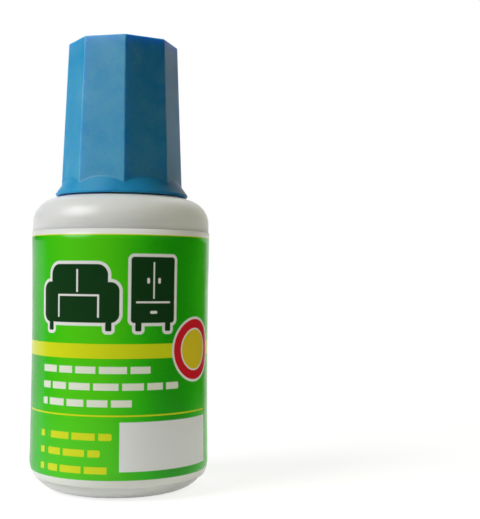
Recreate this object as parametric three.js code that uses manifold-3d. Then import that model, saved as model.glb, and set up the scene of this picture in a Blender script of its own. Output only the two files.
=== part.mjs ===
// Touch-up paint bottle with a brush in its cap. A blow-moulded bottle carries a wrapped label and a
// wiper ring in its neck. An eight-sided screw cap holds the brush, and a loose steel ball stirs the paint.
// Millimetres, +Z up, origin under the middle of the base, one corner of the cap facing -Y.
import * as THREE from "three";
import { mergeVertices } from "three/addons/utils/BufferGeometryUtils.js";
import Module from "manifold-3d";

const wasm = await Module();
wasm.setup();

// Bottle: radii are to the outside of the wall, apart from the bore
const BODY_RADIUS = 14.82;
const BODY_HEIGHT = 44.4; // base to the start of the shoulder's curve
const BODY_WALL = 1.0;
const PANEL_SINK = 0.2; // how far the wall draws in half way up
const BASE_CORNER = 5.0;
const BASE_RING_WIDTH = 1.3; // the flat ring that the bottle stands on
const BASE_PUSH_UP = 1.2; // height of the hollow inside that ring
const SHOULDER_CURVE = 4.2;
const SHOULDER_SLOPE = THREE.MathUtils.degToRad(18);
const NECK_RADIUS = 6.9;
const NECK_WALL = 1.5;
const NECK_HEIGHT = 10.6;
const NECK_ROOT_CURVE = 0.5;
const LIP_ROUND = 0.3;

// Label
const LABEL_THICKNESS = 0.13;
const LABEL_GAP = 0.05; // between the label and the wall, and between its two ends where they lap
const LABEL_OVERHANG = 2.7; // how far the label reaches down over the base's round
const LABEL_TOP_MARGIN = 1.4; // from the label's upper edge to the shoulder
const LABEL_LAP = 4.0;

// Wiper ring pressed into the neck
const WIPER_FLANGE = 0.7;
const WIPER_INSET = 0.25; // how far the flange stays inside the neck's outside
const WIPER_DEPTH = 8.0; // below the neck's lip
const WIPER_WALL = 0.8;
const WIPER_PLAY = 0.85; // from the wiping edge to the stem's root
const WIPER_LIP = 0.6; // thickness of the wiping edge

// Cap: an eight-sided shell with a flared foot, drafted from the foot to the top
const CAP_HEIGHT = 25.95;
const CAP_WALL = 0.99; // at a flat, level with the top of the screw sleeve
const CAP_TOP_WALL = 1.5;
const CAP_SIDES = 8;
const CAP_DRAFT = THREE.MathUtils.degToRad(2.17);
const CAP_TOP_CHAMFER = 0.12;
const CAP_GAP = 0.1; // from the inner edge of the cap's foot to the bottle's shoulder
const FLARE_WIDTH = 0.93; // how far the foot stands out past the corners
const FLARE_ANGLE = THREE.MathUtils.degToRad(36); // from the vertical
const FLARE_LIP = 0.35; // upright edge of the foot
const FLARE_WALL = 0.9;
const THREAD_DEPTH = 0.75; // room that the screw thread takes between the neck and the cap
const THREAD_PLAY = 0.3;
const BORE_STEP = 0.65; // how much narrower the cap is inside, above the screw sleeve
const SOCKET_WALL = 1.1; // tube that hangs from the cap's top and grips the stem

// Foam liner that seals the cap on the wiper ring's flange
const LINER_THICKNESS = 1.2;
const LINER_PLAY = 0.2;

// Brush
const STEM_HEAD_RADIUS = 2.0;
const STEM_TIP_WALL = 0.55; // round the hole for the tuft
const STEM_TAPER = 0.35; // how much thicker the rod is at its root than at its tip
const STEM_FLANGE = 1.0;
const STEM_HEAD_GAP = 0.6; // left free above the head in its socket
const STEM_NOSE = 0.4; // chamfer round the tip
const TUFT_RADIUS = 1.2;
const TUFT_LENGTH = 13.0; // free length of the longest bristles
const TUFT_ROOT = 4.0; // length gripped in the stem
const TUFT_DOME = 0.2; // share by which the outermost bristles are shorter
const TUFT_SWELL = 1.35; // how far the tuft opens out half way down, as a share of its radius at the stem
const TUFT_CLEARANCE = 5.5; // from the bristles' ends to the bottle's floor
const BRISTLE_COUNT = 300;
const BRISTLE_RADIUS = 0.04;
const ANCHOR_THICKNESS = 0.35;
const ANCHOR_INSET = 0.2; // of its two ends from the tuft's outside
const ANCHOR_HEIGHT = 1.6;

// Mixing ball
const BALL_RADIUS = 2.25;
const BALL_GAP = 0.3; // to the wall

// Fits shared by several pieces
const SEAT = 0.05; // between two faces that rest on each other
const PRESS = 0.05; // between a pressed piece and its hole

// How finely curves are divided
const ROUND_STEPS = 48;
const THIN_STEPS = 24;
const CURVE_STEPS = 5;
const PANEL_STEPS = 4;
const CURL_STEPS = 3;
const LAP_STEPS = 3;
const MERGE_DISTANCE = 1e-4;

// Heights and radii that follow from the sizes above
const shoulderEnd = {
  r: BODY_RADIUS - SHOULDER_CURVE + SHOULDER_CURVE * Math.sin(SHOULDER_SLOPE),
  z: BODY_HEIGHT + SHOULDER_CURVE * Math.cos(SHOULDER_SLOPE),
};
const shoulderHeight = (r) => shoulderEnd.z + (shoulderEnd.r - r) * Math.tan(SHOULDER_SLOPE);
const neckRoot = shoulderHeight(NECK_RADIUS);
const neckLip = neckRoot + NECK_HEIGHT;
const neckBore = NECK_RADIUS - NECK_WALL;
const floorHeight = BASE_PUSH_UP + BODY_WALL;
const standingRadius = BODY_RADIUS - BASE_CORNER;

const wiperTop = neckLip + SEAT + WIPER_FLANGE;
const linerLow = wiperTop + SEAT;
const linerTop = linerLow + LINER_THICKNESS;
const flangeLow = linerTop + SEAT;
const flangeTop = flangeLow + STEM_FLANGE;
const socketLow = flangeTop + SEAT;
const socketRadius = STEM_HEAD_RADIUS + PRESS;

const capBore = NECK_RADIUS + THREAD_DEPTH + THREAD_PLAY;
const flatToCorner = 1 / Math.cos(Math.PI / CAP_SIDES);
const capFlat = (z) => capBore + CAP_WALL + (socketLow - z) * Math.tan(CAP_DRAFT);
const capCorner = (z) => capFlat(z) * flatToCorner;
const rimRadius = capCorner(neckRoot) + FLARE_WIDTH;
const mouthRadius = rimRadius - FLARE_WALL;
const capLow = shoulderHeight(mouthRadius) + CAP_GAP;
const capTop = capLow + CAP_HEIGHT;
const capCeiling = capTop - CAP_TOP_WALL;
const flareHeight = (r) => capLow + FLARE_LIP + (rimRadius - r) / Math.tan(FLARE_ANGLE);

const tuftTip = floorHeight + TUFT_CLEARANCE;
const stemTip = tuftTip + TUFT_LENGTH;
const tuftHole = TUFT_RADIUS + PRESS;
const stemTipRadius = tuftHole + STEM_TIP_WALL;
const stemRootRadius = stemTipRadius + STEM_TAPER;
const wiperHole = stemRootRadius + WIPER_PLAY;

const point = (r, z) => new THREE.Vector2(r, z);

// Points of an arc in the profile plane, from one angle to another, both ends included
function arc(r, z, radius, from, to, steps = CURVE_STEPS) {
  const points = [];
  for (let i = 0; i <= steps; i += 1) {
    const angle = from + ((to - from) * i) / steps;
    points.push(point(r + radius * Math.cos(angle), z + radius * Math.sin(angle)));
  }
  return points;
}

// A closed mesh as a solid: shared vertices are merged, and triangles that collapse on the axis are left out
function solidOf(geometry) {
  const bare = geometry.clone();
  bare.deleteAttribute("normal");
  bare.deleteAttribute("uv");
  const merged = mergeVertices(bare, MERGE_DISTANCE);
  const corners = merged.index.array;
  const triangles = [];
  for (let i = 0; i < corners.length; i += 3) {
    const [a, b, c] = [corners[i], corners[i + 1], corners[i + 2]];
    if (a !== b && b !== c && c !== a) triangles.push(a, b, c);
  }
  const vertProperties = merged.attributes.position.array;
  const triVerts = new Uint32Array(triangles);
  return new wasm.Manifold(new wasm.Mesh({ numProp: 3, vertProperties, triVerts }));
}

function geometryOf(solid) {
  const { vertProperties, triVerts } = solid.getMesh();
  const geometry = new THREE.BufferGeometry();
  geometry.setAttribute("position", new THREE.BufferAttribute(vertProperties, 3));
  geometry.setIndex(new THREE.BufferAttribute(triVerts, 1));
  geometry.computeVertexNormals();
  return geometry;
}

// A profile turned about +Z. The profile runs up the outside, so that its faces point outwards.
function revolve(profile, steps = ROUND_STEPS) {
  const turned = new THREE.LatheGeometry(profile, steps);
  turned.rotateX(Math.PI / 2);
  return solidOf(turned);
}

// Outside radius of the wall at a height below the shoulder: the base's round, then the panel that draws in
function wallRadius(z) {
  const above = z - BASE_CORNER;
  if (above < 0) return standingRadius + Math.sqrt(BASE_CORNER ** 2 - above ** 2);
  return BODY_RADIUS - PANEL_SINK * Math.sin((Math.PI * above) / (BODY_HEIGHT - BASE_CORNER));
}

// One side of the bottle's wall from the middle of the base to the end of the shoulder's curve, inset from
// the outside by nothing or by the wall's thickness
function wallProfile(inset) {
  const ringInner = standingRadius - BASE_RING_WIDTH;
  const hollow = [];
  for (let i = 0; i < CURVE_STEPS; i += 1) {
    const share = i / CURVE_STEPS;
    hollow.push(point(ringInner * share, inset + BASE_PUSH_UP * Math.cos((Math.PI / 2) * share) ** 2));
  }
  const panel = [];
  for (let i = 1; i < PANEL_STEPS; i += 1) {
    const z = BASE_CORNER + ((BODY_HEIGHT - BASE_CORNER) * i) / PANEL_STEPS;
    panel.push(point(wallRadius(z) - inset, z));
  }
  const shoulderCentre = BODY_RADIUS - SHOULDER_CURVE;
  return [
    ...hollow,
    point(ringInner, inset),
    ...arc(standingRadius, BASE_CORNER, BASE_CORNER - inset, -Math.PI / 2, 0),
    ...panel,
    ...arc(shoulderCentre, BODY_HEIGHT, SHOULDER_CURVE - inset, 0, Math.PI / 2 - SHOULDER_SLOPE),
  ];
}

// Blow-moulded bottle: one wall all round, open at the neck, with a hollow under the base
function bottle() {
  const rootTurn = NECK_ROOT_CURVE * Math.tan((Math.PI / 2 - SHOULDER_SLOPE) / 2);
  const rootCentre = point(NECK_RADIUS + NECK_ROOT_CURVE, neckRoot + rootTurn);
  const boreRoot = shoulderHeight(neckBore) - BODY_WALL / Math.cos(SHOULDER_SLOPE);
  const outside = [
    ...wallProfile(0),
    ...arc(rootCentre.x, rootCentre.y, NECK_ROOT_CURVE, 1.5 * Math.PI - SHOULDER_SLOPE, Math.PI, 2),
    ...arc(NECK_RADIUS - LIP_ROUND, neckLip - LIP_ROUND, LIP_ROUND, 0, Math.PI / 2, 2),
    point(neckBore, neckLip),
    point(neckBore, boreRoot),
  ];
  return revolve([...outside, ...wallProfile(BODY_WALL).reverse()]);
}

// Printed film label: a flat strip wound once round the wall, its last few millimetres lapped over its start
// at the back, on +Y. Its lower edge curls in with the base's round.
function label() {
  const steps = ROUND_STEPS + LAP_STEPS;
  const levels = CURL_STEPS + PANEL_STEPS;
  const panelHeight = BODY_HEIGHT - LABEL_TOP_MARGIN - BASE_CORNER;
  const strip = new THREE.BoxGeometry(steps, 1, levels, steps, 1, levels);
  const corners = strip.attributes.position;
  for (let i = 0; i < corners.count; i += 1) {
    const step = Math.round(corners.getX(i) + steps / 2);
    const lapped = step - ROUND_STEPS;
    const lapTurn = (LABEL_LAP / BODY_RADIUS) * (lapped / LAP_STEPS);
    const turn = lapped > 0 ? 2 * Math.PI + lapTurn : (2 * Math.PI * step) / ROUND_STEPS;
    const level = Math.round(corners.getZ(i) + levels / 2) - CURL_STEPS;
    const rise = level < 0 ? (LABEL_OVERHANG * level) / CURL_STEPS : (panelHeight * level) / PANEL_STEPS;
    const z = BASE_CORNER + rise;
    const layer = lapped < 0 ? 0 : LABEL_THICKNESS + LABEL_GAP;
    const face = corners.getY(i) > 0 ? LABEL_THICKNESS : 0;
    const r = wallRadius(z) + LABEL_GAP + layer + face;
    corners.setXYZ(i, r * Math.sin(turn), r * Math.cos(turn), z);
  }
  return solidOf(strip);
}

// Soft ring pressed into the neck: its flange lies on the lip, and its tube narrows to an edge that wipes
// the stem
function wiperRing() {
  const outer = neckBore - PRESS;
  const inner = outer - WIPER_WALL;
  const low = neckLip - WIPER_DEPTH;
  const flangeLower = neckLip + SEAT;
  return revolve([
    point(wiperHole, low),
    point(outer - WIPER_WALL / 2, low),
    point(outer, low + WIPER_WALL),
    point(outer, flangeLower),
    point(NECK_RADIUS - WIPER_INSET, flangeLower),
    point(NECK_RADIUS - WIPER_INSET, wiperTop),
    point(inner, wiperTop),
    point(inner, low + WIPER_LIP + (inner - wiperHole)),
    point(wiperHole, low + WIPER_LIP),
    point(wiperHole, low),
  ]);
}

// Foam washer between the cap and the neck
function capLiner() {
  const hole = stemRootRadius + LINER_PLAY;
  const edge = capBore - LINER_PLAY;
  return revolve([
    point(hole, linerLow),
    point(edge, linerLow),
    point(edge, linerTop),
    point(hole, linerTop),
    point(hole, linerLow),
  ]);
}

// The moulding core that hollows the cap: a flared mouth, the screw sleeve, and the space round the socket
// for the stem
function capCore() {
  const sleeveLow = capLow + (mouthRadius - capBore) / Math.tan(FLARE_ANGLE);
  const upperBore = capBore - BORE_STEP;
  const ceilingBore = upperBore - (capCeiling - socketLow - BORE_STEP) * Math.tan(CAP_DRAFT);
  return revolve([
    point(0, capLow - FLARE_LIP),
    point(mouthRadius + FLARE_LIP * Math.tan(FLARE_ANGLE), capLow - FLARE_LIP),
    point(capBore, sleeveLow),
    point(capBore, socketLow),
    point(upperBore, socketLow + BORE_STEP),
    point(ceilingBore, capCeiling),
    point(socketRadius + SOCKET_WALL, capCeiling),
    point(socketRadius + SOCKET_WALL, socketLow),
    point(socketRadius, socketLow),
    point(socketRadius, capCeiling),
    point(0, capCeiling),
  ]);
}

// Injection-moulded cap: an eight-sided drafted shell whose flats run out in scallops on a flared round foot
function cap() {
  const shellTop = capCorner(capTop);
  const eightSided = revolve(
    [
      point(0, capLow + FLARE_LIP),
      point(capCorner(capLow + FLARE_LIP), capLow + FLARE_LIP),
      point(capCorner(capTop - CAP_TOP_CHAMFER), capTop - CAP_TOP_CHAMFER),
      point(shellTop - CAP_TOP_CHAMFER * flatToCorner, capTop),
      point(0, capTop),
    ],
    CAP_SIDES,
  );
  const flareTop = capBore;
  const foot = revolve([
    point(0, capLow),
    point(rimRadius - FLARE_LIP / 2, capLow),
    point(rimRadius, capLow + FLARE_LIP / 2),
    point(rimRadius, capLow + FLARE_LIP),
    point(flareTop, flareHeight(flareTop)),
    point(0, flareHeight(flareTop)),
  ]);
  return eightSided.add(foot).subtract(capCore());
}

// Brush stem: a head gripped in the cap's socket, a flange that backs the liner, and a tapered rod bored
// for the tuft
function brushStem() {
  return revolve(
    [
      point(0, stemTip + TUFT_ROOT),
      point(tuftHole, stemTip + TUFT_ROOT),
      point(tuftHole, stemTip),
      point(stemTipRadius - STEM_NOSE / 2, stemTip),
      point(stemTipRadius, stemTip + STEM_NOSE),
      point(stemRootRadius, flangeLow - STEM_NOSE),
      point(stemRootRadius, flangeLow),
      point(NECK_RADIUS, flangeLow),
      point(NECK_RADIUS, flangeTop),
      point(STEM_HEAD_RADIUS, flangeTop),
      point(STEM_HEAD_RADIUS, capCeiling - STEM_HEAD_GAP - STEM_NOSE),
      point(STEM_HEAD_RADIUS - STEM_NOSE / 2, capCeiling - STEM_HEAD_GAP),
      point(0, capCeiling - STEM_HEAD_GAP),
    ],
    THIN_STEPS,
  );
}

// Flat metal strip at the end of the stem's hole, round which the bristles are folded
const anchorMiddle = stemTip + TUFT_ROOT - SEAT - ANCHOR_HEIGHT / 2;

function tuftAnchor() {
  const strip = new THREE.BoxGeometry(2 * (TUFT_RADIUS - ANCHOR_INSET), ANCHOR_THICKNESS, ANCHOR_HEIGHT);
  strip.translate(0, 0, anchorMiddle);
  return solidOf(strip);
}

// One bristle: a three-sided strand that starts inside the tuft's root, swells out with the tuft and ends
// in a cut
function bristle(index) {
  const share = (index + 0.5) / BRISTLE_COUNT;
  const goldenTurn = Math.PI * (3 - Math.sqrt(5));
  const away = (TUFT_RADIUS - 2 * BRISTLE_RADIUS) * Math.sqrt(share);
  const direction = new THREE.Vector2(Math.cos(index * goldenTurn), Math.sin(index * goldenTurn));
  const length = TUFT_LENGTH * (1 - TUFT_DOME * share);
  const stations = [
    { z: stemTip + ANCHOR_THICKNESS, spread: 1 },
    { z: stemTip - SEAT, spread: 1 },
    { z: stemTip - length / 2, spread: TUFT_SWELL },
    { z: stemTip - length, spread: 1 + (TUFT_SWELL - 1) / 2 },
  ];
  const corners = [];
  for (const { z, spread } of stations) {
    for (let side = 0; side < 3; side += 1) {
      const angle = index * goldenTurn + (2 * Math.PI * side) / 3;
      const x = direction.x * away * spread + BRISTLE_RADIUS * Math.cos(angle);
      const y = direction.y * away * spread + BRISTLE_RADIUS * Math.sin(angle);
      corners.push(x, y, z);
    }
  }
  const faces = [0, 1, 2];
  for (let station = 0; station < stations.length - 1; station += 1) {
    for (let side = 0; side < 3; side += 1) {
      const a = 3 * station + side;
      const b = 3 * station + ((side + 1) % 3);
      faces.push(a, a + 3, b, b, a + 3, b + 3);
    }
  }
  const end = 3 * (stations.length - 1);
  faces.push(end, end + 2, end + 1);
  return { corners, faces };
}

// Nylon tuft: bristles that stand in a gripped root, which is slotted where it folds over the anchor
function bristleTuft() {
  const corners = [];
  const faces = [];
  for (let i = 0; i < BRISTLE_COUNT; i += 1) {
    const strand = bristle(i);
    const first = corners.length / 3;
    corners.push(...strand.corners);
    faces.push(...strand.faces.map((corner) => corner + first));
  }
  const strands = new THREE.BufferGeometry();
  strands.setAttribute("position", new THREE.Float32BufferAttribute(corners, 3));
  strands.setIndex(faces);
  const root = revolve(
    [
      point(0, stemTip),
      point(TUFT_RADIUS, stemTip),
      point(TUFT_RADIUS, stemTip + TUFT_ROOT - SEAT),
      point(0, stemTip + TUFT_ROOT - SEAT),
    ],
    THIN_STEPS,
  );
  const slotWidth = ANCHOR_THICKNESS + 2 * SEAT;
  const slot = new THREE.BoxGeometry(2 * TUFT_RADIUS + SEAT, slotWidth, ANCHOR_HEIGHT + 2 * SEAT);
  slot.translate(0, 0, anchorMiddle);
  return root.subtract(solidOf(slot)).add(solidOf(strands));
}

// Steel ball that rolls on the floor where it is lowest, over the standing ring
function mixingBall() {
  const fromAxis = BODY_RADIUS - Math.max(BASE_CORNER, BODY_WALL + PANEL_SINK + BALL_RADIUS + BALL_GAP);
  const ball = new THREE.SphereGeometry(BALL_RADIUS, THIN_STEPS, THIN_STEPS / 2);
  ball.translate(0, fromAxis, BODY_WALL + SEAT + BALL_RADIUS);
  return solidOf(ball);
}

const ivoryPolyethylene = new THREE.MeshStandardMaterial({ color: 0xd9d8cf, roughness: 0.38 });
const greenFilm = new THREE.MeshStandardMaterial({ color: 0x3aa81c, roughness: 0.3 });
const bluePolypropylene = new THREE.MeshStandardMaterial({ color: 0x2f7fb5, roughness: 0.45 });
const softPolyethylene = new THREE.MeshStandardMaterial({ color: 0xf0f0ec, roughness: 0.4 });
const whitePolypropylene = new THREE.MeshStandardMaterial({ color: 0xe9e9e4, roughness: 0.45 });
const whiteFoam = new THREE.MeshStandardMaterial({ color: 0xf4f4f2, roughness: 0.9 });
const darkNylon = new THREE.MeshStandardMaterial({ color: 0x2a2622, roughness: 0.5 });
const steel = new THREE.MeshStandardMaterial({ color: 0xb9bcc0, roughness: 0.2, metalness: 1 });
const brass = new THREE.MeshStandardMaterial({ color: 0xc9a45a, roughness: 0.3, metalness: 1 });

const paintBottle = new THREE.Group();
const pieces = [
  ["bottle", bottle, ivoryPolyethylene],
  ["label", label, greenFilm],
  ["wiper_ring", wiperRing, softPolyethylene],
  ["mixing_ball", mixingBall, steel],
  ["cap", cap, bluePolypropylene],
  ["cap_liner", capLiner, whiteFoam],
  ["brush_stem", brushStem, whitePolypropylene],
  ["tuft_anchor", tuftAnchor, brass],
  ["bristle_tuft", bristleTuft, darkNylon],
];
for (const [name, make, material] of pieces) {
  const mesh = new THREE.Mesh(geometryOf(make()), material);
  mesh.name = name;
  paintBottle.add(mesh);
}

export default paintBottle;
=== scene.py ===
import math
import random

import bmesh
import bpy
from mathutils import Euler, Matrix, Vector


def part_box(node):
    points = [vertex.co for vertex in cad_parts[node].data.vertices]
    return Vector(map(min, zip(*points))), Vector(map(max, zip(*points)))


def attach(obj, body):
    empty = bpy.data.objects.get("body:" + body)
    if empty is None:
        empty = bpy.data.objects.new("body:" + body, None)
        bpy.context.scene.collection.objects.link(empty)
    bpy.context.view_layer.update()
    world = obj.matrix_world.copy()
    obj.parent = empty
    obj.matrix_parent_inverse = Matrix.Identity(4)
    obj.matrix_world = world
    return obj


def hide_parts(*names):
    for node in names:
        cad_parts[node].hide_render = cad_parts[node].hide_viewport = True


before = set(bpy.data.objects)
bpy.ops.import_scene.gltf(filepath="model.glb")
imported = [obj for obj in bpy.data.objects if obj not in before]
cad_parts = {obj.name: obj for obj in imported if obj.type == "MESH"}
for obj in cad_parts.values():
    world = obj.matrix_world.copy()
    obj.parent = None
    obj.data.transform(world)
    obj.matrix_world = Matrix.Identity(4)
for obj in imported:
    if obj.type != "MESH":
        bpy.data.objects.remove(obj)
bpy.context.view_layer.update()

# Bottle: blow-moulded in ivory high-density polyethylene, with a wall of about 1 mm. The mould's halves leave
# a fine line up each side, its shoulder insert one round the top of the wall, and the pinched end of the tube
# a weld across the hollow base. The neck has a thread of one and a half turns for the cap.
MM = 0.001
BODY_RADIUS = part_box("bottle")[1].x / MM
NECK_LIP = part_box("bottle")[1].z / MM
BODY_HEIGHT = 44.4
BODY_WALL = 1.0
PANEL_SINK = 0.2
BASE_CORNER = 5.0
BASE_RING_WIDTH = 1.3
BASE_PUSH_UP = 1.2
SHOULDER_CURVE = 4.2
SHOULDER_SLOPE = math.radians(18)
NECK_RADIUS = 6.9
NECK_BORE = 5.4
NECK_ROOT_CURVE = 0.5
LIP_ROUND = 0.3
PARTING_RISE, PARTING_WIDTH = 0.04, 0.16
INSERT_LINE_HEIGHT, INSERT_LINE_RISE, INSERT_LINE_WIDTH = 44.05, 0.02, 0.13
INSERT_ZONE = 0.8
WELD_RISE, WELD_WIDTH = 0.3, 0.35
THREAD_PITCH = 3.0
THREAD_TURNS = 1.5
THREAD_HALF_WIDTH = 0.85
THREAD_FLANK = 0.5
THREAD_LEAD_IN = 12
NECK_THREAD_RISE, NECK_THREAD_START = 0.5, 53.0

standing_radius = BODY_RADIUS - BASE_CORNER
shoulder_end = (
    BODY_RADIUS - SHOULDER_CURVE + SHOULDER_CURVE * math.sin(SHOULDER_SLOPE),
    BODY_HEIGHT + SHOULDER_CURVE * math.cos(SHOULDER_SLOPE),
)


def shoulder_height(radius):
    """Height of the sloped top of the shoulder."""
    return shoulder_end[1] + (shoulder_end[0] - radius) * math.tan(SHOULDER_SLOPE)


def wall_radius(z):
    """Outside of the wall below the shoulder: the base's round, then a panel that draws in half way up."""
    above = z - BASE_CORNER
    if above < 0:
        return standing_radius + math.sqrt(BASE_CORNER**2 - above**2)
    return BODY_RADIUS - PANEL_SINK * math.sin(math.pi * above / (BODY_HEIGHT - BASE_CORNER))


def spaced(start, end, steps):
    """Even steps from start to end, both included."""
    return [start + (end - start) * i / steps for i in range(steps + 1)]


def arc(r, z, radius, start, end, steps):
    """Points of an arc in the profile plane, as radius and height."""
    return [(r + radius * math.cos(a), z + radius * math.sin(a)) for a in spaced(start, end, steps)]


def bump(distance, width):
    """A smooth ridge's share of its full height at a distance from its crest."""
    return math.exp(-((distance / width) ** 2))


def thread_share(turn, z, start):
    """A right-hand thread's share of its full depth at a turn about the axis and a height. It gains that
    depth in one part in THREAD_LEAD_IN of a turn at each end."""
    share = 0.0
    for lap in range(math.ceil(THREAD_TURNS)):
        along = lap + (turn % math.tau) / math.tau
        away = abs(z - start - THREAD_PITCH * along)
        flank = min(max((THREAD_HALF_WIDTH - away) / THREAD_FLANK, 0), 1)
        run_out = min(max(THREAD_LEAD_IN * min(along, THREAD_TURNS - along), 0), 1)
        share = max(share, flank * run_out)
    return share


def skin(name, rings, closed=False):
    """A mesh through rings of points in millimetres, each as long as the others or one point on the axis.
    A closed one goes on from its last ring to its first."""
    shell = bmesh.new()
    rows = [[shell.verts.new(Vector(p) * MM) for p in ring] for ring in rings]
    following = rows[1:] + rows[:1] if closed else rows[1:]
    for low, high in zip(rows, following):
        count = max(len(low), len(high))
        for i in range(count):
            j = (i + 1) % count
            corners = [low[i % len(low)], low[j % len(low)], high[j % len(high)], high[i % len(high)]]
            shell.faces.new(list(dict.fromkeys(corners)))
    bmesh.ops.recalc_face_normals(shell, faces=shell.faces)
    mesh = bpy.data.meshes.new(name)
    shell.to_mesh(mesh)
    shell.free()
    return mesh


def turned_ring(r, z, turns):
    """One ring of a turned piece, or its point on the axis."""
    return [(r * math.cos(t), r * math.sin(t), z) for t in turns] if r else [(0, 0, z)]


def place(name, mesh, material, node, body):
    """Puts a piece in the scene in the stead of its CAD node, riding on that node's body."""
    mesh.shade_smooth()
    mesh.set_sharp_from_angle(angle=math.radians(35))
    mesh.materials.append(material)
    piece = bpy.data.objects.new(name, mesh)
    bpy.context.scene.collection.objects.link(piece)
    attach(piece, body)
    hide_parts(node)
    return piece


def linear(code):
    """An sRGB hex colour as the linear colour that the shaders take."""
    channels = [int(code[i : i + 2], 16) / 255 for i in (1, 3, 5)]
    return [c / 12.92 if c <= 0.04045 else ((c + 0.055) / 1.055) ** 2.4 for c in channels] + [1.0]


def per_mm(size):
    """Scale of a pattern whose features are this many millimetres across."""
    return 1 / (size * MM)


def add_node(tree, kind, settings, inputs):
    """Adds a node, sets its properties, and gives each input a value or a link from another node's output."""
    node = tree.nodes.new("ShaderNode" + kind)
    for name, value in settings.items():
        setattr(node, name, value)
    for name, source in inputs.items():
        if isinstance(source, bpy.types.NodeSocket):
            tree.links.new(source, node.inputs[name])
        else:
            node.inputs[name].default_value = source
    return node


def new_material(name, **constants):
    """A material with one Principled shader, whose constant sockets are set here."""
    material = bpy.data.materials.new(name)
    material.use_nodes = True
    shader = material.node_tree.nodes["Principled BSDF"]
    for socket, value in constants.items():
        shader.inputs[socket.replace("_", " ")].default_value = value
    return material, material.node_tree, shader


def finish(tree, shader, pattern, tones=None, span=(0.3, 0.7), roughness=None, relief=None):
    """Lets a pattern lead a surface over a span from one tone to another, from one roughness to another, and
    in and out by a relief, which is a strength and a depth in millimetres."""
    if tones:
        tone = add_node(tree, "ValToRGB", {}, {"Fac": pattern})
        for element, position, code in zip(tone.color_ramp.elements, span, tones):
            element.position, element.color = position, linear(code)
        tree.links.new(tone.outputs["Color"], shader.inputs["Base Color"])
    if roughness:
        ends = {"From Min": 0.3, "From Max": 0.7, "To Min": roughness[0], "To Max": roughness[1]}
        gloss = add_node(tree, "MapRange", {}, {"Value": pattern, **ends})
        tree.links.new(gloss.outputs["Result"], shader.inputs["Roughness"])
    if relief:
        rise = {"Strength": relief[0], "Distance": relief[1] * MM}
        dents = add_node(tree, "Bump", {}, {"Height": pattern, **rise})
        tree.links.new(dents.outputs["Normal"], shader.inputs["Normal"])


def bottle_point(r, z, turn):
    """A point of the bottle's outside with its mould lines, its base weld and its thread."""
    across = r * math.sin(turn)
    rise = PARTING_RISE * bump(across, PARTING_WIDTH) if r > standing_radius or z > BODY_HEIGHT else 0
    rise += INSERT_LINE_RISE * bump(z - INSERT_LINE_HEIGHT, INSERT_LINE_WIDTH)
    if z > shoulder_end[1]:
        rise += NECK_THREAD_RISE * thread_share(turn, z, NECK_THREAD_START)
    drop = WELD_RISE * bump(across, WELD_WIDTH) * min(1, 2 * z / BASE_PUSH_UP) if r < ring_inner else 0
    return ((r + rise) * math.cos(turn), (r + rise) * math.sin(turn), z - drop)


ring_inner = standing_radius - BASE_RING_WIDTH
shoulder_sweep = math.pi / 2 - SHOULDER_SLOPE
root_top = shoulder_height(NECK_RADIUS) + NECK_ROOT_CURVE * math.tan(shoulder_sweep / 2)


MOULD_LINE_CROWDING = 0.36


def mould_turns(count):
    """Turns about the axis that crowd together where a mould's halves meet, on the X axis."""
    return [t - MOULD_LINE_CROWDING * math.sin(2 * t) for t in spaced(0, math.tau, count)[:-1]]


bottle_turns = mould_turns(240)


def hollow(inset, steps):
    """The push-up under the base or, inset by the wall, the floor above it."""
    return [
        (ring_inner * share, inset + BASE_PUSH_UP * math.cos(math.pi / 2 * share) ** 2)
        for share in spaced(0, 1, steps)[1:]
    ]


bottle_outside = [
    *hollow(0, 14),
    *arc(standing_radius, BASE_CORNER, BASE_CORNER, -math.pi / 2, 0, 14),
    *[(wall_radius(z), z) for z in spaced(BASE_CORNER, BODY_HEIGHT - INSERT_ZONE, 18)[1:]],
    *[(wall_radius(z), z) for z in spaced(BODY_HEIGHT - INSERT_ZONE, BODY_HEIGHT, 12)[1:]],
    *arc(BODY_RADIUS - SHOULDER_CURVE, BODY_HEIGHT, SHOULDER_CURVE, 0, shoulder_sweep, 16)[1:],
    *arc(
        NECK_RADIUS + NECK_ROOT_CURVE, root_top, NECK_ROOT_CURVE, 1.5 * math.pi - SHOULDER_SLOPE, math.pi, 5
    ),
    *[(NECK_RADIUS, z) for z in spaced(root_top, NECK_LIP - LIP_ROUND, 60)[1:]],
    *arc(NECK_RADIUS - LIP_ROUND, NECK_LIP - LIP_ROUND, LIP_ROUND, 0, math.pi / 2, 4)[1:],
]
bottle_inside = [
    *hollow(BODY_WALL, 8),
    *arc(standing_radius, BASE_CORNER, BASE_CORNER - BODY_WALL, -math.pi / 2, 0, 8),
    *[(wall_radius(z) - BODY_WALL, z) for z in spaced(BASE_CORNER, BODY_HEIGHT, 8)[1:]],
    *arc(BODY_RADIUS - SHOULDER_CURVE, BODY_HEIGHT, SHOULDER_CURVE - BODY_WALL, 0, shoulder_sweep, 8)[1:],
    (NECK_BORE, shoulder_height(NECK_BORE) - BODY_WALL / math.cos(SHOULDER_SLOPE)),
    *arc(NECK_BORE + LIP_ROUND, NECK_LIP - LIP_ROUND, LIP_ROUND, math.pi, math.pi / 2, 4),
]
bottle_rings = [[(0, 0, BASE_PUSH_UP - WELD_RISE)]]
bottle_rings += [[bottle_point(r, z, t) for t in bottle_turns] for r, z in bottle_outside]
bottle_rings += [turned_ring(r, z, bottle_turns) for r, z in reversed(bottle_inside)]
bottle_rings.append([(0, 0, BASE_PUSH_UP + BODY_WALL)])

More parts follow.
